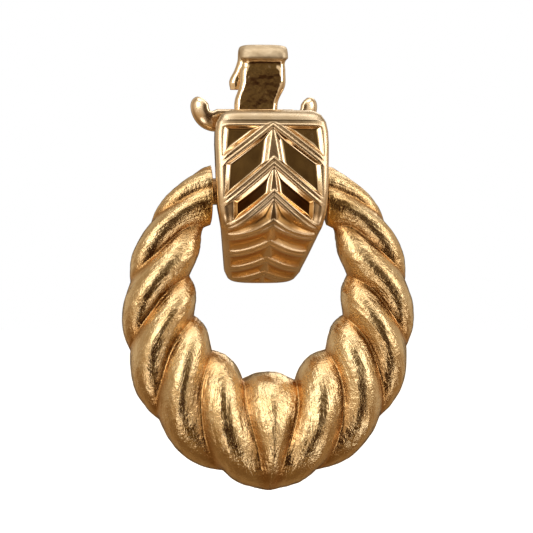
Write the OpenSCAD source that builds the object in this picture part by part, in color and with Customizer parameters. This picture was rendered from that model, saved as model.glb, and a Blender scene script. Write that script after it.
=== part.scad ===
// Clip-on earring: a rope hoop that hangs in a curved front band, with a hinged ear clip behind it.
// X runs to the right, -Y to the front and +Z up. The origin is the middle of the gap for the ear lobe.

/* [Hoop] */
// Width of the hoop over its rope
hoop_w = 28.8; // [26:0.1:32]
// Height of the hoop's outer oval
hoop_h = 32.4; // [28:0.1:36]
// Height of the outer oval's top, seen from the ear lobe
hoop_top_z = -2.9; // [-3.2:0.05:-2.6]
// Width of the oval opening
hole_w = 14.4; // [13.6:0.1:16]
// Height of the oval opening
hole_h = 17.7; // [16:0.1:20]
// Height of the opening's top, seen from the ear lobe
hole_top_z = -6.45; // [-6.8:0.05:-6.2]
// Depth of the rope, as a share of its breadth
rope_depth = 0.74; // [0.6:0.01:0.85]
// How far the point at the very bottom stands out
tip_out = 0.45; // [0:0.05:0.8]
// Shape of the hoop's upper half: 1 is a plain oval, and less has fuller shoulders
shoulder = 0.88; // [0.8:0.02:1]

/* [Rope] */
// Angle from the bottom to the first groove, on the inner edge
groove_in = 17.6; // [15:0.1:22]
// Angle between further grooves on the inner edge
step_in = 29.3; // [26:0.1:33]
// Angle from the bottom to the first groove, on the outer edge
groove_out = 14.5; // [10:0.1:16]
// Angle between further grooves on the outer edge
step_out = 26.5; // [24:0.1:30]
// Height of the point that the groove angles are measured round
groove_z = -16.5; // [-18:0.1:-15]
// Depth of the grooves on the edges
groove_edge = 0.7; // [0.2:0.05:0.8]
// Depth of the grooves on the front and back
groove_face = 1.25; // [0.4:0.05:1.3]
// Further depth of the two lowest grooves on the inner edge
notch = 1.25; // [0:0.05:1.4]

/* [Hoop bar] */
// Radius of the plain bar that closes the hoop inside the band
bar_r = 1.3; // [1.1:0.05:1.35]
// Height of the bar's axis
bar_z = -6.6; // [-6.7:0.05:-6.4]
// How far behind the ear lobe's gap the bar lies
bar_y = 0.55; // [0.5:0.05:0.6]
// Distance from the middle to the rope's cut ends
rope_end_x = 5.7; // [5.7:0.05:6]

/* [Band] */
// How far the band's front stands before the ear lobe's gap
belly_y = 3.25; // [3.1:0.05:3.6]
// Height of the frontmost point
belly_z = -5.9; // [-6.1:0.05:-5.7]
// Thickness of the wall at its top end
wall_top = 1.75; // [1.6:0.05:1.9]
// Thickness of the tail at its lower end
wall_tail = 1.5; // [1.2:0.1:2]
// Crown of the front face from its middle to its edges
crown = 1.1; // [0.6:0.1:1.4]
// Gap round the hoop's bar
bar_gap = 0.3; // [0.2:0.05:0.35]

/* [Leaf relief] */
// Distance from the band's top end to the lower side of its plain top
plate_u = 1.2; // [1:0.05:1.3]
// Half the width of each raised rib
rib_half = 0.42; // [0.3:0.02:0.5]
// Depth of the hollows between the ribs
leaf_depth = 0.36; // [0.2:0.02:0.5]
// Width of the plain rim beside the hollows
rim_w = 0.45; // [0.3:0.05:0.8]

/* [Ear clip] */
// Width of the clip's strip behind the band
strip_w = 4; // [3:0.1:4.4]
// Thickness of the strip
strip_t = 0.9; // [0.7:0.05:1]
// Height of the thumb tab's top
tab_top = 7.8; // [7:0.1:9]
// Width of the thumb tab
tab_w = 4.7; // [4.2:0.1:5]
// Sideways place of the thumb tab's top
tab_x = -0.35; // [-0.6:0.05:0.6]
// Sideways place of the thumb tab's base
base_x = -1.1; // [-1.2:0.05:0.6]
// How far the tab's folded top stands out in front
lip_t = 0.3; // [0:0.05:0.35]
// Length of the crossbar over its horns
pad_w = 12.5; // [11:0.1:13]
// Sideways place of the crossbar
pad_x = -1.3; // [-1.4:0.1:0.5]
// Radius of the horns' bend
horn_r = 1.7; // [1.5:0.05:1.8]
// Angle that the horns turn up through
horn_turn = 118; // [100:1:125]
// Half the height of the crossbar
bar_half = 1.1; // [0.9:0.05:1.2]
// Half the thickness of the horns
horn_half = 0.85; // [0.7:0.05:0.9]
// Half the depth of the crossbar
bar_deep = 0.6; // [0.5:0.05:0.7]
// How far the crossbar leans forward over its height, as a slope
bar_lean = 0.35; // [0.1:0.05:0.4]
// Height of the crossbar's underside
pad_low = -0.75; // [-0.9:0.05:-0.7]
// Gap between the closed crossbar and the band
lobe_gap = 0.4; // [0.3:0.05:0.5]

/* [Hinge] */
// How far behind the ear lobe's gap the hinge axis lies
hinge_y = 5.85; // [5.7:0.05:6.1]
// Height of the hinge axis
hinge_z = -11.05; // [-11.3:0.05:-10.8]
// Radius of the hinge pin
pin_r = 0.6; // [0.5:0.05:0.65]
// Outer radius of the knuckles
knuckle_r = 1.2; // [1.15:0.05:1.3]
// Width of the clip's knuckle
knuckle_w = 3; // [2.6:0.1:3.2]
// Thickness of each ear on the band
ear_t = 1.1; // [0.9:0.1:1.3]
// Running clearance between the pin and the clip's knuckle
run_gap = 0.05; // [0.03:0.01:0.08]

/* [Hidden] */
$fn = 48;
gold = [0.83, 0.62, 0.32];
warm_gold = [0.8, 0.55, 0.24];
// The hoop's ovals: their middles, and the angles at which the rope's cut ends meet them
hoop_cz = hoop_top_z - hoop_h / 2;
hole_cz = hole_top_z - hole_h / 2;
out_end = 180 - asin(pow(rope_end_x / (hoop_w / 2), 1 / shoulder));
in_end = 180 - asin(rope_end_x / (hole_w / 2));
rope_rings = 57;
rope_sides = 28;
// The channel that the hoop's bar lies in
channel_r = bar_r + bar_gap;
channel_turn = 135;
// The band's outer curve as arcs: radius, and direction at its start and end, from straight down to the back
ARC_R = 0;
ARC_FROM = 1;
ARC_TO = 2;
band_arcs = [[22, -19.3, 7], [3.2, 7, 52], [60, 52, 60.8]];
band_top = [-belly_y + band_arcs[0][ARC_R] * (1 - cos(band_arcs[0][ARC_FROM])),
            belly_z - band_arcs[0][ARC_R] * sin(band_arcs[0][ARC_FROM])];
// The band's half width: distance along the outer curve, half width
band_widths = [[0, 3.9], [0.15, 4.35], [0.5, 4.9], [1.2, 5.35], [2.2, 5.54], [3.4, 5.58], [6.3, 5.5],
               [9.5, 5.38], [12.5, 5], [15.2, 4.55], [17.8, 4.15], [20.1, 3.8], [21.2, 3.35], [21.83, 2.7]];
band_rings = 76;
nose_r = [0.9, 0.72];
nose_steps = 5;
// Places across the front face, as shares of the half width
face_half = [for (i = [0:11]) i / 12.4, 0.94, 0.975, 0.993, 1];
face_places = concat([for (i = [len(face_half) - 1:-1:1]) -face_half[i]], face_half);

function arc_len(a) = a[ARC_R] * (a[ARC_TO] - a[ARC_FROM]) * PI / 180;
band_len = arc_len(band_arcs[0]) + arc_len(band_arcs[1]) + arc_len(band_arcs[2]);

function mix(a, b, t) = a + (b - a) * t;
function sum(list, k = 0) = k < len(list) ? list[k] + sum(list, k + 1) : 0;
function ease(t) = let (s = max(0, min(1, t))) s * s * (3 - 2 * s);

// A point on the band's outer curve and its direction there: [[y, z], angle]
function outer_at(u, k = 0, p = band_top) =
    let (a = band_arcs[k], done = k == len(band_arcs) - 1 || u <= arc_len(a),
         turn = done ? a[ARC_FROM] + u / a[ARC_R] * 180 / PI : a[ARC_TO],
         q = p + a[ARC_R] * [cos(a[ARC_FROM]) - cos(turn), sin(a[ARC_FROM]) - sin(turn)])
    done ? [q, turn] : outer_at(u - arc_len(a), k + 1, q);

// The band's inner curve: down the wall, round the hoop's bar, and down the back of the tail
inner_top = band_top + [wall_top, -0.1];
inner_end = outer_at(band_len)[0] + wall_tail * [0.55, 0.83];
function channel_at(turn) = [bar_y - channel_r * cos(turn), bar_z - channel_r * sin(turn)];
wall_share = 0.36;
channel_share = 0.62;
function inner_at(t) =
    t < wall_share ? mix(inner_top, channel_at(0), t / wall_share)
    : t < channel_share ? channel_at(channel_turn * (t - wall_share) / (channel_share - wall_share))
    : mix(channel_at(channel_turn), inner_end, (t - channel_share) / (1 - channel_share));

// Ribs of the band: place on the centre line, and how they lean and curve towards the sides. Then the
// hollow below each rib: its depth as a share of the full one, how far its upper, lower, inner and outer
// walls reach, how far its inner and outer walls slant, and how much wider the rim is beside it
RIB_AT = 0;
RIB_LEAN = 1;
RIB_CURVE = 2;
HOLLOW_DEEP = 3;
UPPER_WALL = 4;
LOWER_WALL = 5;
INNER_WALL = 6;
OUTER_WALL = 7;
INNER_SLANT = 8;
OUTER_SLANT = 9;
WIDER_RIM = 10;
tail_hollow = [0.85, 0.7, 0.6, 0.5, 0.5, 0.3, 0, 0.1];
ribs = [[plate_u, 0, 0, 1, 0.2, 0.28, 0.45, 0.55, 0, 0.2, 0.1],
        [1.35, 0.82, 0.01, 1, 0.25, 0.2, 0.7, 0.55, 0.5, 0.35, 0.1],
        [5.2, 0.88, 0.01, 0.9, 0.52, 0.2, 0.45, 0.5, 0.3, 0.2, 0.8],
        [8.4, 0.92, 0.02, each tail_hollow],
        [11.3, 0.8, 0.06, each tail_hollow],
        [14.1, 0.9, 0.08, each tail_hollow],
        [16.9, 0.9, 0.08, each tail_hollow],
        [19.4, 0.8, 0.08, each tail_hollow],
        [30, 0, 0]];
function rib_line(r, w) = r[RIB_AT] + r[RIB_LEAN] * w - r[RIB_CURVE] * w * w;

// Depth of the leaf hollows at a distance along the band and to the side
function leaf(u, side_x, half) =
    let (w = abs(side_x),
         k = max(0, len([for (r = ribs) if (rib_line(r, w) <= u) r]) - 1),
         hollow = ribs[k],
         from_upper = 0.8 * (u - rib_line(hollow, w)) - rib_half,
         to_lower = 0.8 * (rib_line(ribs[k + 1], w) - u) - rib_half,
         down = max(0, min(1, from_upper / max(from_upper + to_lower, 0.1))),
         from_middle = w - 0.04 - hollow[INNER_SLANT] * down,
         from_rim = half - rim_w - w - hollow[WIDER_RIM] - hollow[OUTER_SLANT] * (1 - down),
         share = min(1, from_upper / hollow[UPPER_WALL], to_lower / hollow[LOWER_WALL],
                     from_middle / hollow[INNER_WALL], from_rim / hollow[OUTER_WALL]),
         ends = ease((u - plate_u - 0.15) / 0.25) * ease((band_len - 0.5 - u) / 0.6))
    leaf_depth * hollow[HOLLOW_DEEP] * max(0, share) * ends;

function face_drop(s) = 1 - pow(1 - pow(abs(s), 3), 1 / 3);

// A closed loop of points round the band between an outer and an inner point of its side view
function band_ring(u, outer, inner) =
    let (half = lookup(u, band_widths),
         thick = norm(inner - outer),
         dir = (inner - outer) / thick,
         most = min(crown, thick * 0.45),
         inside = half - min(0.5, thick * 0.2))
    concat([for (s = face_places)
                let (d = most * face_drop(s) + leaf(u, s * half, half),
                     q = outer + dir * d)
                [s * half, q[0], q[1]]],
           [for (corner = [[half, 0.8], [inside, 1], [-inside, 1], [-half, 0.8]])
                let (q = outer + dir * thick * corner[1])
                [corner[0], q[0], q[1]]]);

// Distances along the band at which it has a ring, close together at its two rounded ends
band_stations = concat(
    [for (k = [1:nose_steps]) nose_r[0] * (1 - cos(75 * k / nose_steps))],
    [for (k = [0:band_rings]) mix(nose_r[0], band_len - nose_r[1], k / band_rings)],
    [for (k = [nose_steps:-1:1]) band_len - nose_r[1] * (1 - cos(75 * k / nose_steps))]);
function nose_share(u) =
    let (from_end = min(u / nose_r[0], (band_len - u) / nose_r[1], 1))
    sqrt(1 - pow(1 - from_end, 2));
band_loops = [for (u = band_stations)
    let (a = outer_at(u)[0], b = inner_at(u / band_len), mid = (a + b) / 2, open = nose_share(u))
    band_ring(u, mix(mid, a, open), mix(mid, b, open))];

// A skin over a list of loops that have the same number of points, closed by a fan at each end
module loft(loops) {
    n = len(loops[0]);
    m = len(loops);
    middle = [for (loop = [loops[0], loops[m - 1]]) [for (k = [0:2]) sum([for (p = loop) p[k]]) / n]];
    points = concat([for (loop = loops) each loop], middle);
    // Each four-sided patch is split along its shorter diagonal
    skin = [for (i = [0:m - 2]) for (j = [0:n - 1])
                let (a = i * n + j, b = i * n + (j + 1) % n, c = b + n, d = a + n)
                each norm(points[a] - points[c]) <= norm(points[b] - points[d])
                    ? [[a, b, c], [a, c, d]] : [[a, b, d], [b, c, d]]];
    fans = [for (j = [0:n - 1])
                let (k = (j + 1) % n, last = (m - 1) * n)
                each [[k, j, m * n], [last + j, last + k, m * n + 1]]];
    polyhedron(points, concat(skin, fans), convexity = 6);
}

// The hinge axis, and its distance from the back of the band's tail
hinge = [hinge_y, hinge_z];
tail_from = channel_at(channel_turn);
tail_dir = (inner_end - tail_from) / norm(inner_end - tail_from);
tail_out = [-tail_dir[1], tail_dir[0]];
hinge_off = (hinge - tail_from) * tail_out;

module across(width, at, radius) {
    translate([-width / 2, at[0], at[1]]) rotate([0, 90, 0]) cylinder(h = width, r = radius);
}

// One ear: a round end at the hinge with a foot that is sunk into the band's tail
module ear(x) {
    foot = hinge - tail_out * (hinge_off + 0.6);
    side = tail_dir * knuckle_r;
    translate([x, 0, 0]) {
        across(ear_t, hinge, knuckle_r);
        rotate([90, 0, 90]) translate([0, 0, -ear_t / 2]) linear_extrude(ear_t)
            polygon([hinge - side, foot - side * 1.4, foot + side * 1.4, hinge + side]);
    }
}

ear_x = knuckle_w / 2 + 0.1 + ear_t / 2;

module band() {
    color(gold) difference() {
        union() {
            loft(band_loops);
            ear(-ear_x);
            ear(ear_x);
        }
        across(knuckle_w * 3, hinge, pin_r + 0.02);
    }
}

// Points on the hoop's two ovals, by the angle from straight down
function out_point(a) =
    let (tip = tip_out * exp(-pow(a / 9, 2)),
         side = pow(abs(sin(a)), abs(a) > 90 ? shoulder : 1))
    [sign(a) * side * hoop_w / 2, hoop_cz - (hoop_h / 2 + tip) * cos(a)];
function in_point(a) = [hole_w / 2 * sin(a), hole_cz - hole_h / 2 * cos(a)];
function view_angle(p) = abs(atan2(p[0], groove_z - p[1]));

// Count of grooves passed since the bottom, on the inner and the outer edge
function count_in(a) = a < groove_in ? 0.5 * a / groove_in : 0.5 + (a - groove_in) / step_in;
function count_out(a) = a < groove_out ? 0.5 + a / groove_out : 1.5 + (a - groove_out) / step_out;

// One loop round the rope at an angle from straight down; its points start on the inner edge
function rope_ring(a) =
    let (past = max(0, abs(a) - 90) / (out_end - 90),
         p_out = out_point(a),
         p_in = in_point(sign(a) * (abs(a) - (out_end - in_end) * past * past)),
         mid = (p_out + p_in) / 2,
         e = (p_out - p_in) / 2,
         breadth = norm(e) * mix(1, 0.9, ease((past - 0.5) / 0.5)),
         deep = breadth * rope_depth,
         c_in = count_in(view_angle(p_in)),
         c_out = count_out(view_angle(p_out)),
         fade = 1 - 0.4 * past - 0.4 * ease((past - 0.6) / 0.4),
         end = mix(1, 0.96, ease((past - 0.95) / 0.05)))
    [for (j = [0:rope_sides - 1])
        let (v = 360 * j / rope_sides,
             front = v <= 180,
             w = front ? v : v - 180,
             h = ((1 - cos(w)) / 2 + w / 180) / 2,
             phase = front ? mix(c_in, c_out, h * h) : mix(c_out, c_in + 2, h),
             bump = abs(cos(180 * phase)),
             at_tip = exp(-pow(a / 7, 2)) * pow(front ? h : 1 - h, 3),
             low = notch * exp(-pow(a / 22, 2)) * pow(max(0, cos(v)), 2) * (1 - bump),
             deepest = mix(groove_edge, groove_face, pow(sin(v), 2)) + low,
             smooth_rim = 1 - 0.5 * past * pow(max(0, -cos(v)), 2),
             groove = deepest * (1 - bump) * fade * smooth_rim * (1 - at_tip),
             size = norm([norm(e) * cos(v), deep * sin(v)]),
             k = end * (1 - groove / size),
             q = mid - e * cos(v) * k)
        [q[0], bar_y - deep * sin(v) * k, q[1]]];

module hoop() {
    color(warm_gold) union() {
        loft([for (i = [rope_rings:-1:-rope_rings]) rope_ring(out_end * i / rope_rings)]);
        across(2 * rope_end_x + 1, [bar_y, bar_z], bar_r);
    }
}

// A rounded oblong loop across a path point of the clip's strip
strip_sides = 20;
function oblong(at, turn, wide, thick, x) =
    [for (j = [0:strip_sides - 1])
        let (v = 360 * j / strip_sides,
             cx = sign(cos(v)) * pow(abs(cos(v)), 0.5),
             cy = sign(sin(v)) * pow(abs(sin(v)), 0.7),
             q = at + [cos(turn), sin(turn)] * cy * thick / 2)
        [x + cx * wide / 2, q[0], q[1]]];

// The strip's path in side view, from the hinge up to the tab's fold and down behind it
ROW_Y = 0;
ROW_Z = 1;
ROW_FACES = 2;
ROW_WIDTH = 3;
ROW_THICK = 4;
ROW_X = 5;
fold_r = 0.9;
fold_y = lobe_gap / 2 + 1.75;
fold_z = tab_top - fold_r - strip_t / 2;
face_w = tab_w - 0.4;
strip_rows = concat(
    [[hinge_y - 0.3, hinge_z + 0.6, 200, knuckle_w, strip_t, 0],
     [5.15, -9.1, 207, knuckle_w, strip_t, 0],
     [4.1, -6.9, 206, strip_w, strip_t, base_x * 0.25],
     [3.1, -4.4, 203, strip_w, strip_t, base_x * 0.5],
     [2.3, -2.4, 203, strip_w, strip_t, base_x * 0.7],
     [1.6, -0.9, 200, strip_w, strip_t, base_x * 0.9],
     [1.2, 0.6, 186, strip_w + 0.2, strip_t, base_x],
     [1.22, 2.2, 180, face_w, strip_t, base_x],
     [1.25, 3.8, 180, face_w + 0.2, strip_t, mix(base_x, tab_x, 0.8)],
     [1.25, 5.2, 180, face_w + 0.1, strip_t, mix(base_x, tab_x, 0.9)],
     [1.25, fold_z - 0.25, 180, face_w, strip_t, tab_x],
     [fold_y - fold_r - 0.02, fold_z + 0.02, 180, tab_w, strip_t + lip_t * 0.9, tab_x]],
    [for (k = [0:7]) let (a = 168 - 24 * k, thick = strip_t + lip_t * max(0, a / 90 - 1))
        [fold_y + fold_r * cos(a), fold_z + fold_r * sin(a), a, tab_w, thick, tab_x]],
    [[fold_y + fold_r + 0.05, 5.4, 0, tab_w, strip_t * 0.9, mix(base_x, tab_x, 0.6)],
     [fold_y + fold_r, 4.2, 0, tab_w + 0.2, strip_t * 0.8, base_x],
     [fold_y + fold_r - 0.05, 3.4, 0, tab_w, strip_t * 0.5, base_x]]);

// The crossbar with its upturned horns, one loop at a share of its half length
pad_sides = 16;
function pad_loop(s) =
    let (flat = pad_w / 2 - horn_r - horn_half,
         run = abs(s) * (flat + horn_r * horn_turn * PI / 180),
         turn = max(0, run - flat) / horn_r * 180 / PI,
         x = min(run, flat) + horn_r * sin(turn),
         tall = mix(bar_half, horn_half, ease(turn / 60)),
         z = pad_low + tall + horn_r * (1 - cos(turn)),
         nose = horn_half / horn_r * 180 / PI,
         tip = sqrt(max(0.02, 1 - pow(max(0, turn - horn_turn + nose) / nose, 2))))
    [for (j = [0:pad_sides - 1])
        let (v = 360 * j / pad_sides,
             r = tall * tip * sign(cos(v)) * pow(abs(cos(v)), 0.8),
             back = bar_deep * tip * sign(sin(v)) * pow(abs(sin(v)), 0.8))
        [pad_x + sign(s) * (x - r * sin(turn)), lobe_gap / 2 + bar_deep + bar_lean * (bar_half - r) + back,
         z + r * cos(turn)]];

module clip_lever() {
    color(gold) difference() {
        union() {
            across(knuckle_w, hinge, knuckle_r);
            loft([for (r = strip_rows)
                oblong([r[ROW_Y], r[ROW_Z]], r[ROW_FACES], r[ROW_WIDTH], r[ROW_THICK], r[ROW_X])]);
            loft([for (i = [-16:16]) pad_loop(i == 0 ? 0.001 : i / 16)]);
        }
        across(knuckle_w * 3, hinge, pin_r + run_gap);
    }
}

module hinge_pin() {
    color(gold) across(knuckle_w + 0.2 + 2 * ear_t + 0.3, hinge, pin_r);
}

band();
hoop();
clip_lever();
hinge_pin();
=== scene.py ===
import math

import bmesh
import bpy
import numpy as np
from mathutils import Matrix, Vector
from mathutils.noise import noise as noise_at


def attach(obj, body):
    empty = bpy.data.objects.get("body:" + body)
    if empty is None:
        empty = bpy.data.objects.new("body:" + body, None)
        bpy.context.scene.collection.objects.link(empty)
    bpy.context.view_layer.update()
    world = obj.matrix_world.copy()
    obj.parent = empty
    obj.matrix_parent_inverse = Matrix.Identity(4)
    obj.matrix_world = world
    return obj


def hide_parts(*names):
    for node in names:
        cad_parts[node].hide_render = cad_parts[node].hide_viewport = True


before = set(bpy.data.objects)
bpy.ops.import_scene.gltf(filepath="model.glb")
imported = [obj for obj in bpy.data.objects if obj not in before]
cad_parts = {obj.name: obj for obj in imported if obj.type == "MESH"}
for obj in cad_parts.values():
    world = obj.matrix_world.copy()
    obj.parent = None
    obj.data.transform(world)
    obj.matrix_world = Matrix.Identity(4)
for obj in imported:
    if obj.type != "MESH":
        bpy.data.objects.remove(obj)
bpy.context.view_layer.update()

# Shapes are worked out in millimetres and degrees, as in the part's source, and surface() makes them metres.
# Materials, lights and the camera are in metres.
MM = 0.001
DEG = math.pi / 180

# Hoop: width, height and top of its outer oval, and then of its opening
HOOP_W, HOOP_H, HOOP_TOP_Z = 28.8, 32.4, -2.9
HOLE_W, HOLE_H, HOLE_TOP_Z = 14.4, 17.7, -6.45
# Rope: its depth as a share of its breadth, how far the point at the very bottom stands out, and the shape of
# the upper half, where 1 is a plain oval and less has fuller shoulders
ROPE_DEPTH, TIP_OUT, SHOULDER = 0.74, 0.45, 0.88
# Grooves: angle from the bottom to the first one and between further ones, on the inner and the outer edge,
# and the height of the point that the angles are measured round
GROOVE_IN, STEP_IN, GROOVE_OUT, STEP_OUT, GROOVE_Z = 17.6, 29.3, 14.5, 26.5, -16.5
# Depth of the grooves on the edges and on the faces, and further depth beside the lowest lobe
GROOVE_EDGE, GROOVE_FACE, NOTCH = 0.7, 1.25, 1.25
# Angles from the bottom within which the notches, the tip and its unbroken ridge lie
NOTCH_WITHIN, TIP_WITHIN, RIDGE_WITHIN = 22, 9, 7
# Towards the rope's ends: what its depth comes down to, how much shallower the grooves get evenly, near the
# end and on the outer edge, and what the rounded rims of the cut ends come down to
END_DEPTH, SHALLOWER, SHALLOWER_LATE, SHALLOWER_OUTSIDE, END_RIM = 0.9, 0.4, 0.4, 0.5, 0.96
# Depth of the hammered dents and of the graver's strokes, and how close they lie
DENT_DEPTH, DENT_SCALE = 0.05, 1.7
STROKE_DEPTH, STROKE_ACROSS, STROKE_ALONG = 0.03, 4.5, 1.2
# The plain bar that closes the hoop, and the distance from the middle to the rope's cut ends
BAR_R, BAR_Y, BAR_Z, ROPE_END_X = 1.3, 0.55, -6.6, 5.7

# Band: how far its frontmost point stands forward and how high, and the thickness of the wall at its top end
# and of the tail at its lower end
BELLY_Y, BELLY_Z, WALL_TOP, WALL_TAIL = 3.25, -5.9, 1.75, 1.5
# Crown of the front face, radius of the edges of the back, and gap round the hoop's bar
CROWN, BACK_EDGE_R, BAR_GAP = 1.1, 0.5, 0.3
# Shares of the band's thickness: the most that the crown and the back's edges take, and the flat side's end
CROWN_SHARE, BACK_EDGE_SHARE, SIDE_SHARE = 0.45, 0.2, 0.62
# The outer curve as arcs: radius, and direction at its start and end, from straight down to the back
BAND_ARCS = [(22, -19.3, 7), (3.2, 7, 52), (60, 52, 60.8)]
# Distance along the outer curve, and half the width there
BAND_WIDTHS = [(0, 3.9), (0.15, 4.35), (0.5, 4.9), (1.2, 5.35), (2.2, 5.54), (3.4, 5.58), (6.3, 5.5),
               (9.5, 5.38), (12.5, 5), (15.2, 4.55), (17.8, 4.15), (20.1, 3.8), (21.2, 3.35), (21.83, 2.7)]
# The inner curve: the shares of it at which the wall and the bar's channel end, and the channel's turn
WALL_SHARE, CHANNEL_SHARE, CHANNEL_TURN = 0.36, 0.62, 135
# Radii of the rounded top end and of the rounded lower end
NOSE_R = (0.9, 0.72)

# Leaf relief: width of the plain rim, distance from the band's top end to the lower side of its plain top
# plate, radius of each of a rib's two strands, depth of the hollows, and half the width of the ridge that
# parts them
RIM_W, PLATE_U, STRAND_R, LEAF_DEPTH, RIDGE_HALF = 0.45, 1.2, 0.21, 0.36, 0.04
# How deep the furrows along the strands lie, how far the strands rise out of them, and what share of both is
# left on the tail
FURROW, STRAND_RISE, TAIL_SHARE = 0.06, 0.13, 0.7
# Across a slanting rib, a distance along the band counts for less
RIB_SLANT = 0.8
# Where the hollows start below the plate, where the ribs start, and how far before its end the band is plain,
# each with the length over which the relief grows there
HOLLOW_START, HOLLOW_FADE = 0.15, 0.25
RIB_START, RIB_FADE = 0.9, 0.3
END_PLAIN, END_FADE = 0.5, 0.6
# Lengths over which the ribs get lower at the tail and at the rim, and how far below the plate no strand lies
TAIL_FADE, RIM_FADE, STRANDLESS = 0.8, 0.5, 0.3
# Ribs of the band, as place on the centre line, lean and curve towards the sides, and the hollow below each:
# its share of the full depth, widths of its upper, lower, inner and outer wall, slants of the inner and outer
# one, and how much wider the rim is beside it. The last row lies past the band's end
TAIL_RIBS = ((8.4, 0.92, 0.02), (11.3, 0.8, 0.06), (14.1, 0.9, 0.08), (16.9, 0.9, 0.08), (19.4, 0.8, 0.08))
RIBS = [(PLATE_U, 0, 0, 1, 0.2, 0.28, 0.45, 0.55, 0, 0.2, 0.1),
        (1.35, 0.82, 0.01, 1, 0.25, 0.2, 0.7, 0.55, 0.5, 0.35, 0.1),
        (5.2, 0.88, 0.01, 0.9, 0.52, 0.2, 0.45, 0.5, 0.3, 0.2, 0.8),
        *[(*rib, 0.85, 0.7, 0.6, 0.5, 0.5, 0.3, 0, 0.1) for rib in TAIL_RIBS],
        (30, 0, 0, 0, 1, 1, 1, 1, 0, 0, 0)]
FIRST_TAIL_RIB = 3
# Finish of the band: where its top, darkened by painted shade, ends, and where painted shade begins in its
# hollows, each with the length over which the tone changes; the depth of a hollow with the full painted
# shade;
# and how satin the back is
SHADED_TOP_END, TOP_SHADE_FADE = 1.6, 0.5
HOLLOW_SHADE_FROM, HOLLOW_SHADE_FADE, HOLLOW_SHADE_DEPTH = 7.5, 2, 0.2
BACK_SATIN = 0.4

# Ear clip: width and thickness of the strip, top and width of the thumb tab, and the sideways places of the
# tab's top and base. The tab's top folds back on a radius, and its lip stands out in front
STRIP_W, STRIP_T, TAB_TOP, TAB_W, TAB_X, BASE_X = 4.0, 0.9, 7.8, 4.7, -0.35, -1.1
FOLD_R, LIP_T = 0.9, 0.3
# Powers that flatten the sides of the strip's section, across and through it, and of the crossbar's
STRIP_ACROSS, STRIP_THROUGH, BAR_SQUARE = 0.5, 0.7, 0.8
# Finish of the strip: how far below the fold's middle its satin top, darkened by painted shade, starts, and
# the length over which it changes; the height up to which its faces get wavier, and the share that they start
# from;
# and how far in from an edge they are calmer, as a share of half the width
SATIN_BELOW, SATIN_FADE = 0.4, 0.3
WAVY_FROM, WAVY_LEAST, WAVY_EDGE = 1.5, 0.15, 0.25
# Crossbar: length over its horns, sideways place, height of its underside, and gap to the closed band
PAD_W, PAD_X, PAD_LOW, LOBE_GAP = 12.5, -1.3, -0.75, 0.4
# Half its height and half its depth, and how far it leans forward over its height, as a slope
BAR_HALF, BAR_DEEP, BAR_LEAN = 1.1, 0.6, 0.35
# Radius of the horns' bend, half their thickness, the angle that they turn up through, and the part of it,
# in degrees, over which the bar's height comes down to their thickness
HORN_R, HORN_HALF, HORN_TURN, HORN_THINS = 1.7, 0.85, 118 * DEG, 60

# Hinge: its axis, as y and z, and the radius and width of the clip's knuckle
HINGE = np.array([5.85, -11.05])
KNUCKLE_R, KNUCKLE_W = 1.2, 3.0
# The two ears: thickness, clearance to the knuckle, radius of their edges, depth of their feet in the band's
# tail, and half the width of a foot in radii of the knuckle
EAR_T, EAR_GAP, EAR_EDGE_R, EAR_SUNK, FOOT_HALF = 1.1, 0.1, 0.16, 0.6, 1.4

# Rings along a piece, and points round each ring
ROPE_RINGS, ROPE_SIDES = 561, 144
STRIP_RINGS, STRIP_SIDES = 260, 48
CROSSBAR_RINGS, CROSSBAR_SIDES = 161, 40
# The band's rings between its rounded ends, the steps over each of these, and the places across its front
BAND_RINGS, NOSE_STEPS, FACE_PLACES = 380, 12, 161

# Camera: the photo looks at the earring from a little to its left
VIEW_AZIMUTH, VIEW_ELEVATION = -8.5, 0
# Distance from the earring, height of what it sees there, and the point that it looks at
VIEW_DISTANCE, VIEW_HEIGHT = 0.45, 0.052
VIEW_CENTRE = Vector((-0.0002, 0.0005, -0.0139))


def ease(t):
    """A smooth step from 0 to 1 while t goes from 0 to 1."""
    s = np.clip(t, 0, 1)
    return s * s * (3 - 2 * s)


def mix(a, b, t):
    return a + (b - a) * t


def squared(wave, power):
    """A sine or cosine pushed towards 1 and -1, for a section with flattened sides."""
    return np.sign(wave) * np.abs(wave) ** power


def around(sides):
    """Angles round a section, in radians."""
    return np.linspace(0, 2 * math.pi, sides, endpoint=False)


def heading(turn):
    """A step of length 1 in the side view, as y and z, at an angle in degrees."""
    return np.array([math.cos(turn * DEG), math.sin(turn * DEG)])


def placed(name, data):
    """A new object in the scene that holds the data."""
    obj = bpy.data.objects.new(name, data)
    bpy.context.scene.collection.objects.link(obj)
    return obj


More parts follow.
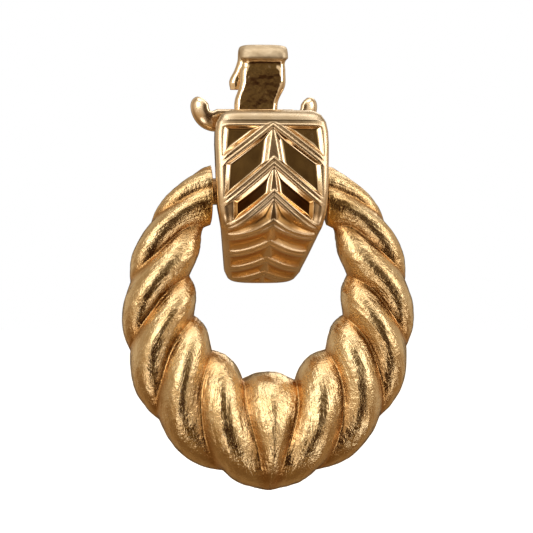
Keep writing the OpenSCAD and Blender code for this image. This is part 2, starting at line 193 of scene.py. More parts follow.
def surface(name, body, points, **attributes):
    """A smooth closed piece with its faces outward, from rows of points in millimetres; each row is a loop.

    Each attribute gives its material three numbers for every point.
    """
    rows, cols = points.shape[:2]
    ends = [points[0].mean(axis=0), points[-1].mean(axis=0)]
    verts = np.vstack([points.reshape(-1, 3), ends]) * MM
    i, j = np.arange(rows - 1)[:, None], np.arange(cols)[None, :]
    a, b = i * cols + j, i * cols + (j + 1) % cols
    faces = np.stack([a, b, b + cols, a + cols], axis=-1).reshape(-1, 4).tolist()
    first_end, last_row = rows * cols, (rows - 1) * cols
    for k in range(cols):
        after = (k + 1) % cols
        faces.append((after, k, first_end))
        faces.append((last_row + k, last_row + after, first_end + 1))
    mesh = bpy.data.meshes.new(name)
    mesh.from_pydata(verts.tolist(), [], faces)
    mesh.validate()
    for key, values in attributes.items():
        data = np.vstack([values.reshape(-1, 3), np.zeros((len(ends), 3))])
        mesh.attributes.new(key, "FLOAT_VECTOR", "POINT").data.foreach_set("vector", data.ravel())
    solid = bmesh.new()
    solid.from_mesh(mesh)
    if solid.calc_volume(signed=True) < 0:
        mesh.flip_normals()
    solid.free()
    mesh.polygons.foreach_set("use_smooth", [True] * len(mesh.polygons))
    mesh.update()
    obj = placed(name, mesh)
    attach(obj, body)
    return obj


def dress(obj, material, slot, *nodes):
    """Gives a piece its material and hides the CAD nodes that it stands for; slot is not used."""
    obj.data.materials.clear()
    obj.data.materials.append(material)
    if nodes:
        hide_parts(*nodes)


# Front band

def arc_length(arc):
    radius, start, end = arc
    return radius * (end - start) * DEG


BAND_LEN = sum(arc_length(arc) for arc in BAND_ARCS)


def outer_at(u):
    """A point of the band's outer curve, as y and z, at a distance along it."""
    radius, start, _ = BAND_ARCS[0]
    p = np.array([-BELLY_Y, BELLY_Z]) + radius * (heading(0) - heading(start))
    for arc in BAND_ARCS:
        radius, start, _ = arc
        along = u if arc is BAND_ARCS[-1] else min(u, arc_length(arc))
        p = p + radius * (heading(start) - heading(start + along / radius / DEG))
        u -= arc_length(arc)
        if u <= 0:
            break
    return p


def channel_at(turn):
    """A point of the channel round the hoop's bar, as y and z, at an angle from its front."""
    return np.array([BAR_Y, BAR_Z]) - (BAR_R + BAR_GAP) * heading(turn)


# Ends of the inner curve: behind the band's top end, and nearly square to the tail at its lower end
INNER_TOP = outer_at(0) + (WALL_TOP, -0.1)
INNER_END = outer_at(BAND_LEN) + WALL_TAIL * np.array([0.55, 0.83])


def inner_at(t):
    """A point of the inner curve: down the wall, round the channel and down the tail, at a share of it."""
    if t < WALL_SHARE:
        return mix(INNER_TOP, channel_at(0), t / WALL_SHARE)
    if t < CHANNEL_SHARE:
        return channel_at(CHANNEL_TURN * (t - WALL_SHARE) / (CHANNEL_SHARE - WALL_SHARE))
    return mix(channel_at(CHANNEL_TURN), INNER_END, (t - CHANNEL_SHARE) / (1 - CHANNEL_SHARE))


def soft_least(*shares):
    """The least of several shares and of 1, rounded where two of them meet; below 0 it is 0."""
    power = 6.0
    total = 1 + sum(np.maximum(share, 0.01) ** -power for share in shares)
    least = np.minimum.reduce(np.broadcast_arrays(*shares))
    return np.where(least > 0, total ** (-1 / power) * np.clip(least / 0.02, 0, 1), 0)


def leaf(u, w, half):
    """Depth of the leaf hollows between ribs of two strands, and how satin the metal is: 0 in a hollow.

    u is the distance along the band, w the places across it, and half its half width.
    """
    w = np.abs(w)
    table = np.array(RIBS)
    lines = np.array([at + lean * w - curve * w ** 2 for at, lean, curve in table[:, :3]])
    k = np.maximum((lines <= u).sum(axis=0) - 1, 0)
    deep, upper, lower, inner, outer, inner_slant, outer_slant, wider = table[k, 3:].T
    places = np.arange(len(w))
    above, below = lines[k, places], lines[k + 1, places]
    # Distances from the walls of the hollow, as shares of their widths
    below_rib = RIB_SLANT * (u - above) - 2 * STRAND_R
    above_rib = RIB_SLANT * (below - u) - 2 * STRAND_R
    down = np.clip(below_rib / np.maximum(below_rib + above_rib, 0.1), 0, 1)
    from_ridge = w - RIDGE_HALF - inner_slant * down
    side = half - RIM_W - w
    from_rim = side - wider - outer_slant * (1 - down)
    share = soft_least(below_rib / upper, above_rib / lower, from_ridge / inner, from_rim / outer)
    starts = ease((u - PLATE_U - HOLLOW_START) / HOLLOW_FADE)
    ends = ease((BAND_LEN - END_PLAIN - u) / END_FADE)
    # The ribs are lower on the tail and fade out at the rim, and the plate has no strand along its underside
    tail = ease((u - lines[FIRST_TAIL_RIB]) / TAIL_FADE)
    from_rib = RIB_SLANT * np.minimum(np.abs(u - above), below - u)
    strand = np.sqrt(np.clip(1 - (from_rib / STRAND_R - 1) ** 2, 0, 1))
    rib = (FURROW - STRAND_RISE * strand) * ease(side / RIM_FADE) * mix(1, TAIL_SHARE, tail)
    rib = rib * ease((u - RIB_START) / RIB_FADE)
    under_plate = (k == 0) & (PLATE_U <= u < PLATE_U + STRANDLESS) & (u - above <= below - u)
    depth = (LEAF_DEPTH * deep * share * starts + np.where(under_plate, 0, rib)) * ends
    return depth, np.maximum(1 - np.clip(share * starts / 0.5, 0, 1), tail)


def band_stations():
    """Distances along the band at which it has a ring, close together at its two rounded ends."""
    steps = [1 - math.cos(75 * DEG * k / NOSE_STEPS) for k in range(1, NOSE_STEPS)]
    nose = [NOSE_R[0] * step for step in steps]
    tail = [BAND_LEN - NOSE_R[1] * step for step in reversed(steps)]
    return nose + list(np.linspace(NOSE_R[0], BAND_LEN - NOSE_R[1], BAND_RINGS)) + tail


def face_places():
    """Places across the front face as shares of the half width, closer together towards its edges."""
    even = np.abs(np.linspace(-1, 1, FACE_PLACES))
    s = np.sin(np.linspace(-90, 90, FACE_PLACES) * DEG)
    return np.sign(s) * mix(np.abs(s), even, 0.6)


def band_ring(outer, inner, half, places, deep):
    """A loop round the band: its crowned front with the relief, then its back with rounded edges."""
    thick = np.linalg.norm(inner - outer)
    toward = (inner - outer) / thick
    drop = min(CROWN, thick * CROWN_SHARE) * (1 - (1 - np.abs(places) ** 3) ** (1 / 3)) + deep
    face = np.column_stack([places * half, *(outer + toward * drop[:, None]).T])
    edge = min(BACK_EDGE_R, thick * BACK_EDGE_SHARE)
    turns = np.linspace(0, 90, 7)[1:] * DEG
    # The end of the flat side, then a rounded edge, as places across and shares of the thickness
    back = [(half, SIDE_SHARE)]
    back += [(half - edge * (1 - math.cos(t)), 1 - edge / thick * (1 - math.sin(t))) for t in turns]
    right = [[x, *(outer + toward * thick * share)] for x, share in back]
    left = [[-x, y, z] for x, y, z in reversed(right)]
    middle = [[x, *inner] for x in np.linspace(right[-1][0], left[0][0], 8)[1:-1]]
    return np.vstack([face, right, middle, left])


def band_points():
    """The band's surface and the finish of each point: how satin, how wavy and its tone, which is painted
    shade on the top plate and in the tail's hollows.
    """
    places = face_places()
    rows, satins, shade_tones = [], [], []
    for u in band_stations():
        outer, inner = outer_at(u), inner_at(u / BAND_LEN)
        from_end = min(u / NOSE_R[0], (BAND_LEN - u) / NOSE_R[1], 1)
        opened = math.sqrt(1 - (1 - from_end) ** 2)
        centre = (outer + inner) / 2
        half = np.interp(u, *zip(*BAND_WIDTHS))
        deep, satin = leaf(u, places * half, half)
        ring = band_ring(mix(centre, outer, opened), mix(centre, inner, opened), half, places, deep)
        rows.append(ring)
        satins.append(np.append(satin, [BACK_SATIN] * (len(ring) - len(places))))
        # Painted shade: the top plate is darkened, and on the tail the front's hollows get a darker orange
        # tone
        tone = np.full(len(ring), 0.5 + 0.5 * ease((SHADED_TOP_END - u) / TOP_SHADE_FADE))
        tone[:len(places)] -= 0.5 * ease((u - HOLLOW_SHADE_FROM) / HOLLOW_SHADE_FADE) * ease(deep / HOLLOW_SHADE_DEPTH)
        shade_tones.append(tone)
    return np.array(rows), np.stack([satins, np.ones_like(satins), shade_tones], axis=-1)


# Rope hoop

# Angles from the bottom at which the rope's cut ends meet the outer and the inner oval
OUT_END = 180 - math.asin((ROPE_END_X / (HOOP_W / 2)) ** (1 / SHOULDER)) / DEG
IN_END = 180 - math.asin(ROPE_END_X / (HOLE_W / 2)) / DEG


def hoop_ovals(a, past):
    """Points of the rope's outer and inner edge, as x and z, at angles from the bottom.

    past goes from 0 where the hoop is widest to 1 at the rope's cut ends.
    """
    tip = TIP_OUT * np.exp(-(a / TIP_WITHIN) ** 2)
    out_x = np.sign(a) * np.abs(np.sin(a * DEG)) ** np.where(np.abs(a) > 90, SHOULDER, 1)
    b = np.sign(a) * (np.abs(a) - (OUT_END - IN_END) * past ** 2) * DEG
    hoop_cz, hole_cz = HOOP_TOP_Z - HOOP_H / 2, HOLE_TOP_Z - HOLE_H / 2
    outer = np.column_stack([HOOP_W / 2 * out_x, hoop_cz - (HOOP_H / 2 + tip) * np.cos(a * DEG)])
    inner = np.column_stack([HOLE_W / 2 * np.sin(b), hole_cz - HOLE_H / 2 * np.cos(b)])
    return outer, inner


def seen_angle(points):
    """Angles of points from straight down, seen from the point that the grooves are measured round."""
    return np.abs(np.arctan2(points[:, 0], GROOVE_Z - points[:, 1])) / DEG


def count_in(a):
    """The lobe count on the inner edge at an angle; a groove lies at each half."""
    return np.where(a < GROOVE_IN, 0.5 * a / GROOVE_IN, 0.5 + (a - GROOVE_IN) / STEP_IN)


def count_out(a):
    """The lobe count on the outer edge at an angle; a groove lies at each half."""
    return np.where(a < GROOVE_OUT, 0.5 + a / GROOVE_OUT, 1.5 + (a - GROOVE_OUT) / STEP_OUT)


def lobe_phase(v, c_in, c_out):
    """The lobe count at angles v round the rope, and how far outward each of them lies, from 0 to 1.

    v is 0 at the inner edge and pi at the outer one, and c_in and c_out are the counts there.
    """
    front = v <= math.pi
    over = np.where(front, v, v - math.pi)
    h = ((1 - np.cos(over)) / 2 + over / math.pi) / 2
    phase = np.where(front, mix(c_in, c_out, h ** 2), mix(c_out, c_in + 2, h))
    return phase, np.where(front, h, 1 - h)


def groove_depth(a, past, v, crest, outward):
    """Depth of the grooves: most on the faces and at the lowest notches, less at the tip and the ends."""
    notch = NOTCH * np.exp(-(a / NOTCH_WITHIN) ** 2) * np.maximum(0, np.cos(v)) ** 2 * (1 - crest)
    at_tip = np.exp(-(a / RIDGE_WITHIN) ** 2) * outward ** 3
    groove = (mix(GROOVE_EDGE, GROOVE_FACE, np.sin(v) ** 2) + notch) * (1 - crest) * (1 - at_tip)
    groove = groove * (1 - SHALLOWER * past - SHALLOWER_LATE * ease((past - 0.6) / 0.4))
    return groove * (1 - SHALLOWER_OUTSIDE * past * np.maximum(0, -np.cos(v)) ** 2)


def wear(places):
    """Depth of shallow hammered dents and of the graver's strokes, at places given along the lobes."""
    flat = places.reshape(-1, 3)
    dents = np.array([noise_at(Vector(p) * DENT_SCALE) for p in flat])
    # 20 sets the strokes apart from the dents
    strokes = np.array([noise_at(Vector((x * STROKE_ACROSS, y * STROKE_ACROSS, z * STROKE_ALONG + 20)))
                        for x, y, z in flat])
    return (DENT_DEPTH * dents + STROKE_DEPTH * strokes).reshape(places.shape[:2])


def rope_points(rings, sides):
    """The rope's surface and its finish, in two attributes.

    wrap is the lobe count as a point of a circle, and the place across the rope. depth is 0 in a groove and
    1 on a crest, which sets the shade painted into the grooves, then how much shade is painted on the rope's
    ends beside the band, and then the place along the rope in lobes.
    """
    a = np.linspace(OUT_END, -OUT_END, rings)
    past = np.maximum(0, np.abs(a) - 90) / (OUT_END - 90)
    outer, inner = hoop_ovals(a, past)
    mid, e = (outer + inner) / 2, (outer - inner) / 2
    reach = np.linalg.norm(e, axis=1)
    deep = (reach * mix(1, END_DEPTH, ease((past - 0.5) / 0.5)) * ROPE_DEPTH)[:, None]
    # From here each ring is a row of the arrays, and each place round the rope a column
    v = around(sides)[None, :]
    a, past, reach = a[:, None], past[:, None], reach[:, None]
    c_in, c_out = count_in(seen_angle(inner))[:, None], count_out(seen_angle(outer))[:, None]
    phase, outward = lobe_phase(v, c_in, c_out)
    lobe_x, lobe_y = np.cos(math.pi * phase), np.sin(math.pi * phase)
    crest = np.abs(lobe_x)
    dents = wear(np.stack([lobe_x, lobe_y, np.cos(v / 2) * 2 + a / 40], axis=-1))
    size = np.hypot(reach * np.cos(v), deep * np.sin(v))
    end = mix(1, END_RIM, ease((past - 0.95) / 0.05))
    k = end * (1 - (groove_depth(a, past, v, crest, outward) + dents) / size)
    x = mid[:, :1] - e[:, :1] * np.cos(v) * k
    y = BAR_Y - deep * np.sin(v) * k
    z = mid[:, 1:] - e[:, 1:] * np.cos(v) * k
    side = np.where(a < 0, -1, 1)
    wrap = np.stack([lobe_x, side * lobe_y, np.broadcast_to(np.cos(v / 2), crest.shape)], axis=-1)
    # Painted shade at the rope's ends beside the band, stronger on their inner side
    painted_end_shade = ease((past - 0.6) / 0.3) * ease((np.cos(v) + 0.6) / 1.4)
    depth = np.stack([crest, painted_end_shade, np.broadcast_to(a / STEP_IN, crest.shape)], axis=-1)
    return np.stack([x, y, z], axis=-1), wrap, depth


# Ear clip and hinge

def smooth_rows(rows, count):
    """So many rows on a smooth curve through the given ones, evenly spaced by their first two numbers."""
    rows = np.array(rows, dtype=float)
    steps = np.maximum(np.linalg.norm(np.diff(rows[:, :2], axis=0), axis=1), 1e-6)
    at = np.concatenate([[0], np.cumsum(steps)])
    slopes = np.gradient(rows, at, axis=0)
    out = []
    for t in np.linspace(0, at[-1], count):
        k = min(np.searchsorted(at, t, side="right") - 1, len(steps) - 1)
        d = steps[k]
        s = (t - at[k]) / d
        out.append((2 * s ** 3 - 3 * s ** 2 + 1) * rows[k] + (s ** 3 - 2 * s ** 2 + s) * d * slopes[k]
                   + (3 * s ** 2 - 2 * s ** 3) * rows[k + 1] + (s ** 3 - s ** 2) * d * slopes[k + 1])
    return np.array(out)


# The middle of the fold at the tab's top
FOLD_Y = LOBE_GAP / 2 + 1.75
FOLD_Z = TAB_TOP - FOLD_R - STRIP_T / 2
# The strip from the knuckle to the fold's back: y, z, direction of the front face, width, thickness, and
# sideways place
STRIP_ROWS = [
    (HINGE[0] - 0.3, HINGE[1] + 0.6, 200, KNUCKLE_W, STRIP_T, 0),
    (5.15, -9.1, 207, KNUCKLE_W, STRIP_T, 0),
    (4.1, -6.9, 206, STRIP_W, STRIP_T, BASE_X * 0.25),
    (3.1, -4.4, 203, STRIP_W, STRIP_T, BASE_X * 0.5),
    (2.3, -2.4, 203, STRIP_W, STRIP_T, BASE_X * 0.7),
    (1.6, -0.9, 200, STRIP_W, STRIP_T, BASE_X * 0.9),
    (1.2, 0.6, 186, STRIP_W + 0.2, STRIP_T, BASE_X),
    (1.22, 2.2, 180, TAB_W - 0.4, STRIP_T, BASE_X),
    (1.25, 3.8, 180, TAB_W - 0.2, STRIP_T, mix(BASE_X, TAB_X, 0.8)),
    (1.25, 5.2, 180, TAB_W - 0.3, STRIP_T, mix(BASE_X, TAB_X, 0.9)),
    (1.25, FOLD_Z - 0.25, 180, TAB_W - 0.4, STRIP_T, TAB_X),
    (FOLD_Y - FOLD_R - 0.02, FOLD_Z + 0.02, 180, TAB_W, STRIP_T + LIP_T * 0.9, TAB_X),
    *[(FOLD_Y + FOLD_R * math.cos(a * DEG), FOLD_Z + FOLD_R * math.sin(a * DEG), a, TAB_W,
       STRIP_T + LIP_T * max(0, a / 90 - 1), TAB_X) for a in np.linspace(168, 0, 8)],
    (FOLD_Y + FOLD_R + 0.05, 5.4, 0, TAB_W, STRIP_T * 0.9, mix(BASE_X, TAB_X, 0.6)),
    (FOLD_Y + FOLD_R, 4.2, 0, TAB_W + 0.2, STRIP_T * 0.8, BASE_X),
    (FOLD_Y + FOLD_R - 0.05, 3.4, 0, TAB_W, STRIP_T * 0.5, BASE_X),
]


def strip_points(rings, sides):
    """The strip's surface and its finish: its folded top is satin and darkened by painted shade, and its
    faces are wavy.
    """
    v = around(sides)
    across, through = squared(np.cos(v), STRIP_ACROSS), squared(np.sin(v), STRIP_THROUGH)
    rows = []
    for y, z, turn, wide, thick, x in smooth_rows(STRIP_ROWS, rings):
        off = through * thick / 2
        rows.append(np.column_stack([x + across * wide / 2, y + math.cos(turn * DEG) * off,
                                     z + math.sin(turn * DEG) * off]))
    points = np.array(rows)
    height = points[:, :, 2]
    lip = ease((height - FOLD_Z + SATIN_BELOW) / SATIN_FADE)
    wavy = mix(WAVY_LEAST, 1, ease(height / WAVY_FROM)) * ease((1 - np.abs(across)) / WAVY_EDGE)
    # The third part is painted shade, which darkens the folded top
    return points, np.stack([lip, wavy, 0.5 + 0.5 * lip], axis=-1)


def crossbar_points(rings, sides):
    """The crossbar with its two upturned horns, which end round."""
    flat = PAD_W / 2 - HORN_R - HORN_HALF
    v = around(sides)
    up, back = squared(np.cos(v), BAR_SQUARE), squared(np.sin(v), BAR_SQUARE)
    rows = []
    for s in np.linspace(-1, 1, rings):
        side = -1 if s < 0 else 1
        run = abs(s) * (flat + HORN_R * HORN_TURN)
        turn = max(0, run - flat) / HORN_R
        x = min(run, flat) + HORN_R * math.sin(turn)
        tall = mix(BAR_HALF, HORN_HALF, float(ease(turn / DEG / HORN_THINS)))
        z = PAD_LOW + tall + HORN_R * (1 - math.cos(turn))
        past = max(0, turn - HORN_TURN + HORN_HALF / HORN_R) / (HORN_HALF / HORN_R)
        tip = math.sqrt(max(0.0004, 1 - past ** 2))
        r = tall * up * tip
        y = LOBE_GAP / 2 + BAR_DEEP + BAR_LEAN * BAR_HALF + BAR_DEEP * back * tip - BAR_LEAN * r
        rows.append(np.column_stack([PAD_X + side * (x - r * math.sin(turn)), y, z + r * math.cos(turn)]))
    return np.array(rows)


def turned(half, radius, at, edge=0.15, sides=64):
    """A round bar along X, of a half length, with rounded edges; at is the place of its axis, as y and z."""
    turns = np.linspace(0, 90, 7) * DEG
    profile = [(half - edge * (1 - math.sin(t)), radius - edge * (1 - math.cos(t))) for t in turns]
    profile = [(-x, r) for x, r in reversed(profile)] + profile
    v = around(sides)
    return np.array([np.column_stack([np.full(sides, x), at[0] - r * np.sin(v), at[1] + r * np.cos(v)])
                     for x, r in profile])


def ear_foot():
    """The middle of an ear's foot, as y and z: it is sunk into the band's tail, square to the tail's back."""
    tail_from = channel_at(CHANNEL_TURN)
    tail_dir = (INNER_END - tail_from) / np.linalg.norm(INNER_END - tail_from)
    tail_out = np.array([-tail_dir[1], tail_dir[0]])
    hinge_off = (HINGE - tail_from) @ tail_out
    return HINGE - tail_out * (hinge_off + EAR_SUNK)


def ear_points(x, foot):
    """An ear of the hinge: a plate with a round end at the hinge and a wider foot."""
    out = (HINGE - foot) / np.linalg.norm(HINGE - foot)
    side = np.array([out[1], -out[0]])
    outline = [foot - side * KNUCKLE_R * FOOT_HALF]
    for t in np.linspace(-90, 90, 41) * DEG:
        outline.append(HINGE + KNUCKLE_R * (side * math.sin(t) + out * math.cos(t)))
    outline.append(foot + side * KNUCKLE_R * FOOT_HALF)
    outline = np.array(outline)
    centre = outline.mean(axis=0)
    away = outline - centre
    size = np.linalg.norm(away, axis=1)[:, None]
    rows = []
    for t in np.linspace(-90, 90, 15) * DEG:
        off = np.sign(math.sin(t)) * (EAR_T / 2 - EAR_EDGE_R) + EAR_EDGE_R * math.sin(t)
        ring = centre + away * (1 - EAR_EDGE_R * (1 - math.cos(t)) / size)
        rows.append(np.column_stack([np.full(len(ring), x + off), ring]))
    return np.array(rows)


# Shader nodes

def feed(tree, node, inputs):
    """Links a node's inputs to other nodes' sockets, or sets them to plain values."""
    for key, value in inputs.items():
        if isinstance(value, bpy.types.NodeSocket):
            tree.links.new(value, node.inputs[key])
        else:
            node.inputs[key].default_value = value


def add_node(tree, kind, inputs, **settings):
    node = tree.nodes.new("ShaderNode" + kind)
    for key, value in settings.items():
        setattr(node, key, value)
    feed(tree, node, inputs)
    return node


def noise(tree, place, scale, detail, rough):
    node = add_node(tree, "TexNoise", {"Vector": place, "Scale": scale, "Detail": detail, "Roughness": rough})
    return node.outputs["Fac"]


def ramp(tree, value, stops):
    """A colour for each value; a stop is a place from 0 to 1 and its colour."""
    node = add_node(tree, "ValToRGB", {"Fac": value})
    elements = node.color_ramp.elements
    while len(elements) < len(stops):
        elements.new(0.5)
    for element, (at, colour) in zip(elements, stops):
        element.position = at
        element.color = (*colour, 1)
    return node.outputs["Color"]


def grey(low, high):
    """Two stops of a ramp for a plain number; each is given as its place and its number."""
    return [(at, (value,) * 3) for at, value in (low, high)]


def mixed(tree, share, one, other, blend="MIX"):
    """One colour mixed with a share of the other."""
    inputs = {"Factor": share, "A": one, "B": other}
    return add_node(tree, "Mix", inputs, data_type="RGBA", blend_type=blend).outputs["Result"]


def multiplied(tree, one, other):
    return mixed(tree, 1, one, other, "MULTIPLY")


def mapped(tree, value, low, high, clamp=True):
    """A value carried from low to high over to 0 to 1."""
    inputs = {"Value": value, "From Min": low, "From Max": high}
    return add_node(tree, "MapRange", inputs, clamp=clamp).outputs["Result"]


def bump(tree, height, strength, distance, normal=None):
    """The normal bent by a height, a distance in metres deep, on top of another bump where one is given."""
    inputs = {"Height": height, "Strength": strength, "Distance": distance}
    if normal is not None:
        inputs["Normal"] = normal
    return add_node(tree, "Bump", inputs).outputs["Normal"]


def parts_of(tree, vector):
    return add_node(tree, "SeparateXYZ", {"Vector": vector}).outputs


def attribute(tree, name):
    return add_node(tree, "Attribute", {}, attribute_name=name).outputs["Vector"]


def coordinates(tree, kind):
    return tree.nodes.new("ShaderNodeTexCoord").outputs[kind]


def new_material(name):
    material = bpy.data.materials.new(name)
    material.use_nodes = True
    return material, material.node_tree, material.node_tree.nodes["Principled BSDF"]


# Materials

WHITE = (1, 1, 1)
# What the colour keeps where shade is painted in: on satin top faces, in the band's hollows and at the rope's
# ends beside the band
PAINTED_TOP_SHADE, PAINTED_HOLLOW_SHADE, PAINTED_END_SHADE = (0.74, 0.77, 0.8), (0.96, 0.75, 0.45), (1, 0.8, 0.4)
# Noises over the metal: scale, detail and roughness
PATCHES, HAIRLINES, WAVES, GRIT = (420, 3, 0.6), (2600, 4, 0.7), (700, 2, 0.5), (9000, 3, 0.6)
STAINS, CRUMPLE, GRAIN = (500, 3, 0.6), (1300, 4, 0.6), (7500, 2, 0.5)
# The graver's strokes lie closer round a lobe than across the rope
STROKE_SPREAD = (5, 5, 2.6)
# Strength of the waves, and then strength and depth in metres of the other unevenness
WAVE_STRENGTH = 0.25
GRIT_BUMP, CUT_BUMP, CRUMPLE_BUMP, GRAIN_BUMP = (0.12, 0.00001), (1, 0.00005), (1, 0.00012), (1, 0.00002)


def polished(name, colour, worn, rough, satin=None, wavy=0.00004):
    """Polished plate: nearly a mirror, with faint waviness, hairline wear and small changes of tone.

    satin is the roughness of the ribs and rims, and wavy the depth of the waves in metres. Where satin is
    given, the parts of the point attribute for finish and shade say how satin and how wavy each point is, and
    its
    painted shade: 0 a darker orange shade in hollows, 0.5 none and 1 a darker shade on tops.
    """
    material, tree, shader = new_material(name)
    place = coordinates(tree, "Object")
    tone = ramp(tree, noise(tree, place, *PATCHES), [(0.35, worn), (0.65, colour)])
    hairlines = noise(tree, place, *HAIRLINES)
    roughness = ramp(tree, hairlines, grey((0.35, rough * 0.7), (0.75, rough * 1.9)))
    waves = noise(tree, place, *WAVES)
    if satin:
        finish = parts_of(tree, attribute(tree, "finish"))
        matt = ramp(tree, hairlines, grey((0.35, satin * 0.9), (0.75, satin * 1.2)))
        roughness = mixed(tree, finish["X"], roughness, matt)
        waves = multiplied(tree, waves, finish["Y"])
        # Painted shade from the attribute's third part: a darker orange in hollows and a darker tone on tops
        painted_shade = ramp(tree, finish["Z"], [(0, PAINTED_HOLLOW_SHADE), (0.5, WHITE), (1, PAINTED_TOP_SHADE)])
        tone = multiplied(tree, tone, painted_shade)
    wave = bump(tree, waves, WAVE_STRENGTH, wavy)
    fine = bump(tree, noise(tree, place, *GRIT), *GRIT_BUMP, wave)
    feed(tree, shader, {"Base Color": tone, "Roughness": roughness, "Normal": fine, "Metallic": 1})
    return material


def engraved(name, crest, groove):
    """Plate engraved with fine strokes along the rope's lobes, paler on the crests than in the grooves, where
    shade is painted in, and with painted shade at the rope's ends beside the band.
    """
    material, tree, shader = new_material(name)
    place = coordinates(tree, "Object")
    depth = parts_of(tree, attribute(tree, "depth"))
    spread = {0: attribute(tree, "wrap"), 1: STROKE_SPREAD}
    stretch = add_node(tree, "VectorMath", spread, operation="MULTIPLY")
    inputs = {"Vector": stretch.outputs[0], "W": depth["Z"], "Scale": 1, "Detail": 3, "Roughness": 0.6}
    strokes = add_node(tree, "TexNoise", inputs, noise_dimensions="4D")
    crumple = noise(tree, place, *CRUMPLE)
    # Painted shade: the grooves get a darker colour than the crests, and the rope's ends beside the band a
    # darker orange
    tone = ramp(tree, depth["X"], [(0.12, groove), (0.6, crest)])
    tone = multiplied(tree, tone, ramp(tree, depth["Y"], [(0, WHITE), (1, PAINTED_END_SHADE)]))
    stain = ramp(tree, noise(tree, place, *STAINS), [(0.35, (0.88, 0.80, 0.70)), (0.65, WHITE)])
    roughness = ramp(tree, crumple, grey((0.35, 0.16), (0.7, 0.3)))
    cut = bump(tree, strokes.outputs["Fac"], *CUT_BUMP)
    hammered = bump(tree, crumple, *CRUMPLE_BUMP, cut)
    fine = bump(tree, noise(tree, place, *GRAIN), *GRAIN_BUMP, hammered)
    feed(tree, shader, {"Base Color": multiplied(tree, tone, stain), "Roughness": roughness, "Normal": fine,
                        "Metallic": 1})
    return material


# Pieces

def front_band():
    # The band's gold is a darker copy of the hinge's gold: painted shade over the whole band
    band_gold_shaded = polished("band_gold_shaded", (0.83, 0.64, 0.42), worn=(0.77, 0.57, 0.35), rough=0.08, satin=0.3)
    points, finish = band_points()
    band = surface("band_front", "band", points, finish=finish)
    dress(band, band_gold_shaded, "polished_gold", "band")


def hinge_ears(gold):
    ear_x = KNUCKLE_W / 2 + EAR_GAP + EAR_T / 2
    foot = ear_foot()
    for side, x in (("left", -ear_x), ("right", ear_x)):
        ear = surface(f"hinge_ear_{side}", "band", ear_points(x, foot))
        dress(ear, gold, "polished_gold")


def rope_hoop():
    # The rope's groove colour is painted shade
    rope_gold = engraved("textured_gold", crest=(0.87, 0.66, 0.37), groove=(0.62, 0.37, 0.15))
    # The bar is painted dark: painted shade for the gap between the rope's ends and the band
    bar_painted_shade = polished("bar_painted_shade", (0.52, 0.33, 0.15), worn=(0.36, 0.21, 0.09), rough=0.2)
    points, wrap, depth = rope_points(ROPE_RINGS, ROPE_SIDES)
    rope = surface("hoop_rope", "hoop", points, wrap=wrap, depth=depth)
    dress(rope, rope_gold, "textured_gold", "hoop")
    # The bar's ends lie inside the rope
    bar = surface("hoop_bar", "hoop", turned(ROPE_END_X + 0.5, BAR_R, (BAR_Y, BAR_Z)))
    dress(bar, bar_painted_shade, "textured_gold")


def ear_clip(gold):
    # The tab's and the crossbar's gold are paler copies of the hinge's gold: painted light
    tab_gold_lit = polished("tab_gold_lit", (0.98, 0.78, 0.53), worn=(0.91, 0.70, 0.45), rough=0.1, satin=0.5,
                        wavy=0.001)
    horn_gold_lit = polished("horn_gold_lit", (0.96, 0.77, 0.54), worn=(0.90, 0.70, 0.47), rough=0.1, satin=0.35)
    points, finish = strip_points(STRIP_RINGS, STRIP_SIDES)
    strip = surface("clip_strip", "clip", points, finish=finish)
    dress(strip, tab_gold_lit, "polished_gold", "clip_lever")
    points = crossbar_points(CROSSBAR_RINGS, CROSSBAR_SIDES)
    crossbar = surface("clip_crossbar", "clip", points, finish=np.full(points.shape, 0.5))
    dress(crossbar, horn_gold_lit, "polished_gold")
    knuckle = surface("clip_knuckle", "clip", turned(KNUCKLE_W / 2, KNUCKLE_R, HINGE))
    dress(knuckle, gold, "polished_gold")


def hinge_pin():
    pin_gold = polished("pin_gold", (0.82, 0.64, 0.42), worn=(0.74, 0.56, 0.35), rough=0.16)
    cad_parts["hinge_pin"].data.materials.clear()
    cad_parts["hinge_pin"].data.materials.append(pin_gold)


# Stage: a pale floor under the hanging earring, soft white surroundings and a dark patch in front of it

FLOOR_Z = -0.062
WORLD_STRENGTH = 1.1
# The dark patch on a sphere of radius 1: its azimuth, and then half its width, the height of its middle, half
# its height and half its depth
CARD_AZIMUTH = 6
CARD_HALF_W, CARD_Z, CARD_HALF_H, CARD_HALF_DEEP = 0.5, -0.08, 0.84, 1.2
# Its mottle: scale, detail and roughness, and the darkest and the palest tone in its lower and its upper part
MOTTLE = (7, 4, 0.6)
CARD_LOWER = [(0.2, (0.03, 0.016, 0.011)), (0.8, (0.08, 0.046, 0.024))]
CARD_UPPER = [(0.2, (0.10, 0.072, 0.036)), (0.8, (0.19, 0.145, 0.075))]
# Tones of the surroundings by height, from 0 straight below to 1 straight above, and by the angle from the
# camera's side and from the far side
HEIGHT_TONES = [(0, (0.38, 0.25, 0.12)), (0.3, (0.58, 0.41, 0.23)), (0.5, (0.96, 0.87, 0.73)),
                (0.8, (0.86, 0.78, 0.65))]
FRONT_TONES = [(180, (0.70, 0.68, 0.66)), (115, (0.62, 0.58, 0.54)), (86, (0.36, 0.30, 0.24)),
               (70, (0.50, 0.44, 0.37)), (56, (0.80, 0.77, 0.73))]
BEHIND_TONES = [(50, WHITE), (20, (0.12, 0.09, 0.06))]
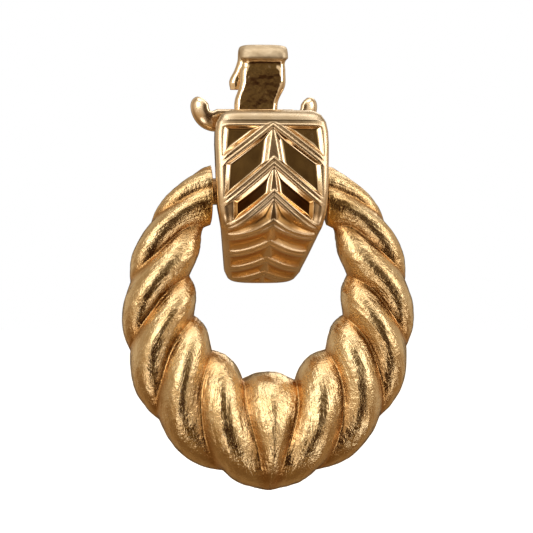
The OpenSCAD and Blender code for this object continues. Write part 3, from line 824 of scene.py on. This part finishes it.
# Softboxes: name, azimuth and elevation in degrees, distance from the earring, width, height, and radiance
SOFTBOXES = [
    ("key_left", -42, 19, 0.5, 0.13, 0.34, 3.4),
    ("key_right", 60, 19, 0.5, 0.13, 0.34, 3.4),
    ("low_left", -36, -40, 0.5, 0.16, 0.16, 2.2),
    ("low_right", 53, -40, 0.5, 0.16, 0.16, 2.2),
    ("high_left", -36, 58, 0.5, 0.14, 0.14, 2.5),
    ("high_right", 53, 58, 0.5, 0.14, 0.14, 2.5),
    ("top", 0, 80, 0.5, 0.4, 0.25, 1.5),
    ("behind", 150, 40, 0.6, 0.3, 0.3, 2.0),
]


def direction(azimuth, elevation):
    a, e = azimuth * DEG, elevation * DEG
    return Vector((math.sin(a) * math.cos(e), -math.cos(a) * math.cos(e), math.sin(e)))


CAMERA_WAY = direction(VIEW_AZIMUTH, VIEW_ELEVATION)
CARD_WAY = direction(CARD_AZIMUTH, 0)


def pale_floor():
    bpy.ops.mesh.primitive_circle_add(vertices=96, radius=3, fill_type="NGON", location=(0, 0, FLOOR_Z))
    floor = bpy.context.object
    floor.name = "floor"
    floor.visible_glossy = False
    material, tree, shader = new_material("floor_white")
    feed(tree, shader, {"Base Color": (0.95, 0.95, 0.95, 1), "Roughness": 0.9,
                        "Emission Color": (*WHITE, 1), "Emission Strength": 0.8})
    floor.data.materials.append(material)


def seen_along(tree, place, way):
    """How far the direction looked at lies along another: 1 along it and -1 against it."""
    return add_node(tree, "VectorMath", {0: place, 1: way}, operation="DOT_PRODUCT").outputs["Value"]


def seen_from(tree, place, way, stops):
    """A tone of the surroundings by the angle from one direction; a stop is an angle and its colour."""
    share = mapped(tree, seen_along(tree, place, way), -1, 1)
    return ramp(tree, share, [((1 + math.cos(angle * DEG)) / 2, colour) for angle, colour in stops])


def dark_card(tree, place):
    """An oval dark patch of the surroundings in front of the earring, taller than it is wide."""
    height = parts_of(tree, place)["Z"]
    across = seen_along(tree, place, CARD_WAY.cross(Vector((0, 0, 1))))
    ahead = seen_along(tree, place, CARD_WAY)
    oval = add_node(tree, "CombineXYZ", {
        "X": mapped(tree, across, 0, CARD_HALF_W, clamp=False),
        "Y": mapped(tree, height, CARD_Z, CARD_Z + CARD_HALF_H, clamp=False),
        "Z": mapped(tree, ahead, 1, 1 + CARD_HALF_DEEP, clamp=False)})
    off_middle = add_node(tree, "VectorMath", {0: oval.outputs[0]}, operation="LENGTH").outputs["Value"]
    outside = ramp(tree, off_middle, [(0.84, (0, 0, 0)), (1, WHITE)])
    mottle = mapped(tree, noise(tree, place, *MOTTLE), 0.3, 0.7)
    lower, upper = ramp(tree, mottle, CARD_LOWER), ramp(tree, mottle, CARD_UPPER)
    dark = mixed(tree, mapped(tree, height, -0.15, 0.2), lower, upper)
    return mixed(tree, outside, dark, (*WHITE, 1))


def surroundings():
    """White to the eye; in reflections a dark patch in front, white round it, tan beside and dim below."""
    world = bpy.data.worlds.new("studio")
    bpy.context.scene.world = world
    world.use_nodes = True
    tree = world.node_tree
    tree.nodes.clear()
    place = coordinates(tree, "Generated")
    up = mapped(tree, parts_of(tree, place)["Z"], -1, 1)
    height = ramp(tree, up, HEIGHT_TONES)
    front = seen_from(tree, place, CAMERA_WAY, FRONT_TONES)
    behind = seen_from(tree, place, -CAMERA_WAY, BEHIND_TONES)
    tone = multiplied(tree, front, multiplied(tree, dark_card(tree, place), behind))
    lit = add_node(tree, "Background", {"Color": multiplied(tree, height, tone), "Strength": WORLD_STRENGTH})
    seen = add_node(tree, "Background", {"Color": (*WHITE, 1)})
    rays = tree.nodes.new("ShaderNodeLightPath")
    either = add_node(tree, "MixShader", {"Fac": rays.outputs["Is Camera Ray"], 1: lit.outputs[0],
                                          2: seen.outputs[0]})
    add_node(tree, "OutputWorld", {"Surface": either.outputs[0]})


def aim(obj, way, distance):
    """Places a light or a camera at a distance in one direction, and points it at the earring."""
    obj.location = VIEW_CENTRE + way * distance
    obj.rotation_euler = way.to_track_quat("Z", "Y").to_euler()


def softbox(name, azimuth, elevation, distance, width, height, radiance):
    light = bpy.data.lights.new(name, "AREA")
    light.shape = "RECTANGLE"
    light.size, light.size_y = width, height
    light.energy = radiance * math.pi * width * height
    aim(placed(name, light), direction(azimuth, elevation), distance)


def photo_camera():
    data = bpy.data.cameras.new("camera")
    data.lens = data.sensor_width * VIEW_DISTANCE / VIEW_HEIGHT
    data.clip_start, data.clip_end = 0.01, 10
    camera = placed("camera", data)
    aim(camera, CAMERA_WAY, VIEW_DISTANCE)
    bpy.context.scene.camera = camera


hinge_gold = polished("polished_gold", (0.88, 0.68, 0.45), worn=(0.82, 0.61, 0.38), rough=0.08)
front_band()
hinge_ears(hinge_gold)
rope_hoop()
ear_clip(hinge_gold)
hinge_pin()

pale_floor()
surroundings()
for box in SOFTBOXES:
    softbox(*box)
photo_camera()
bpy.context.scene.view_settings.view_transform = "Standard"
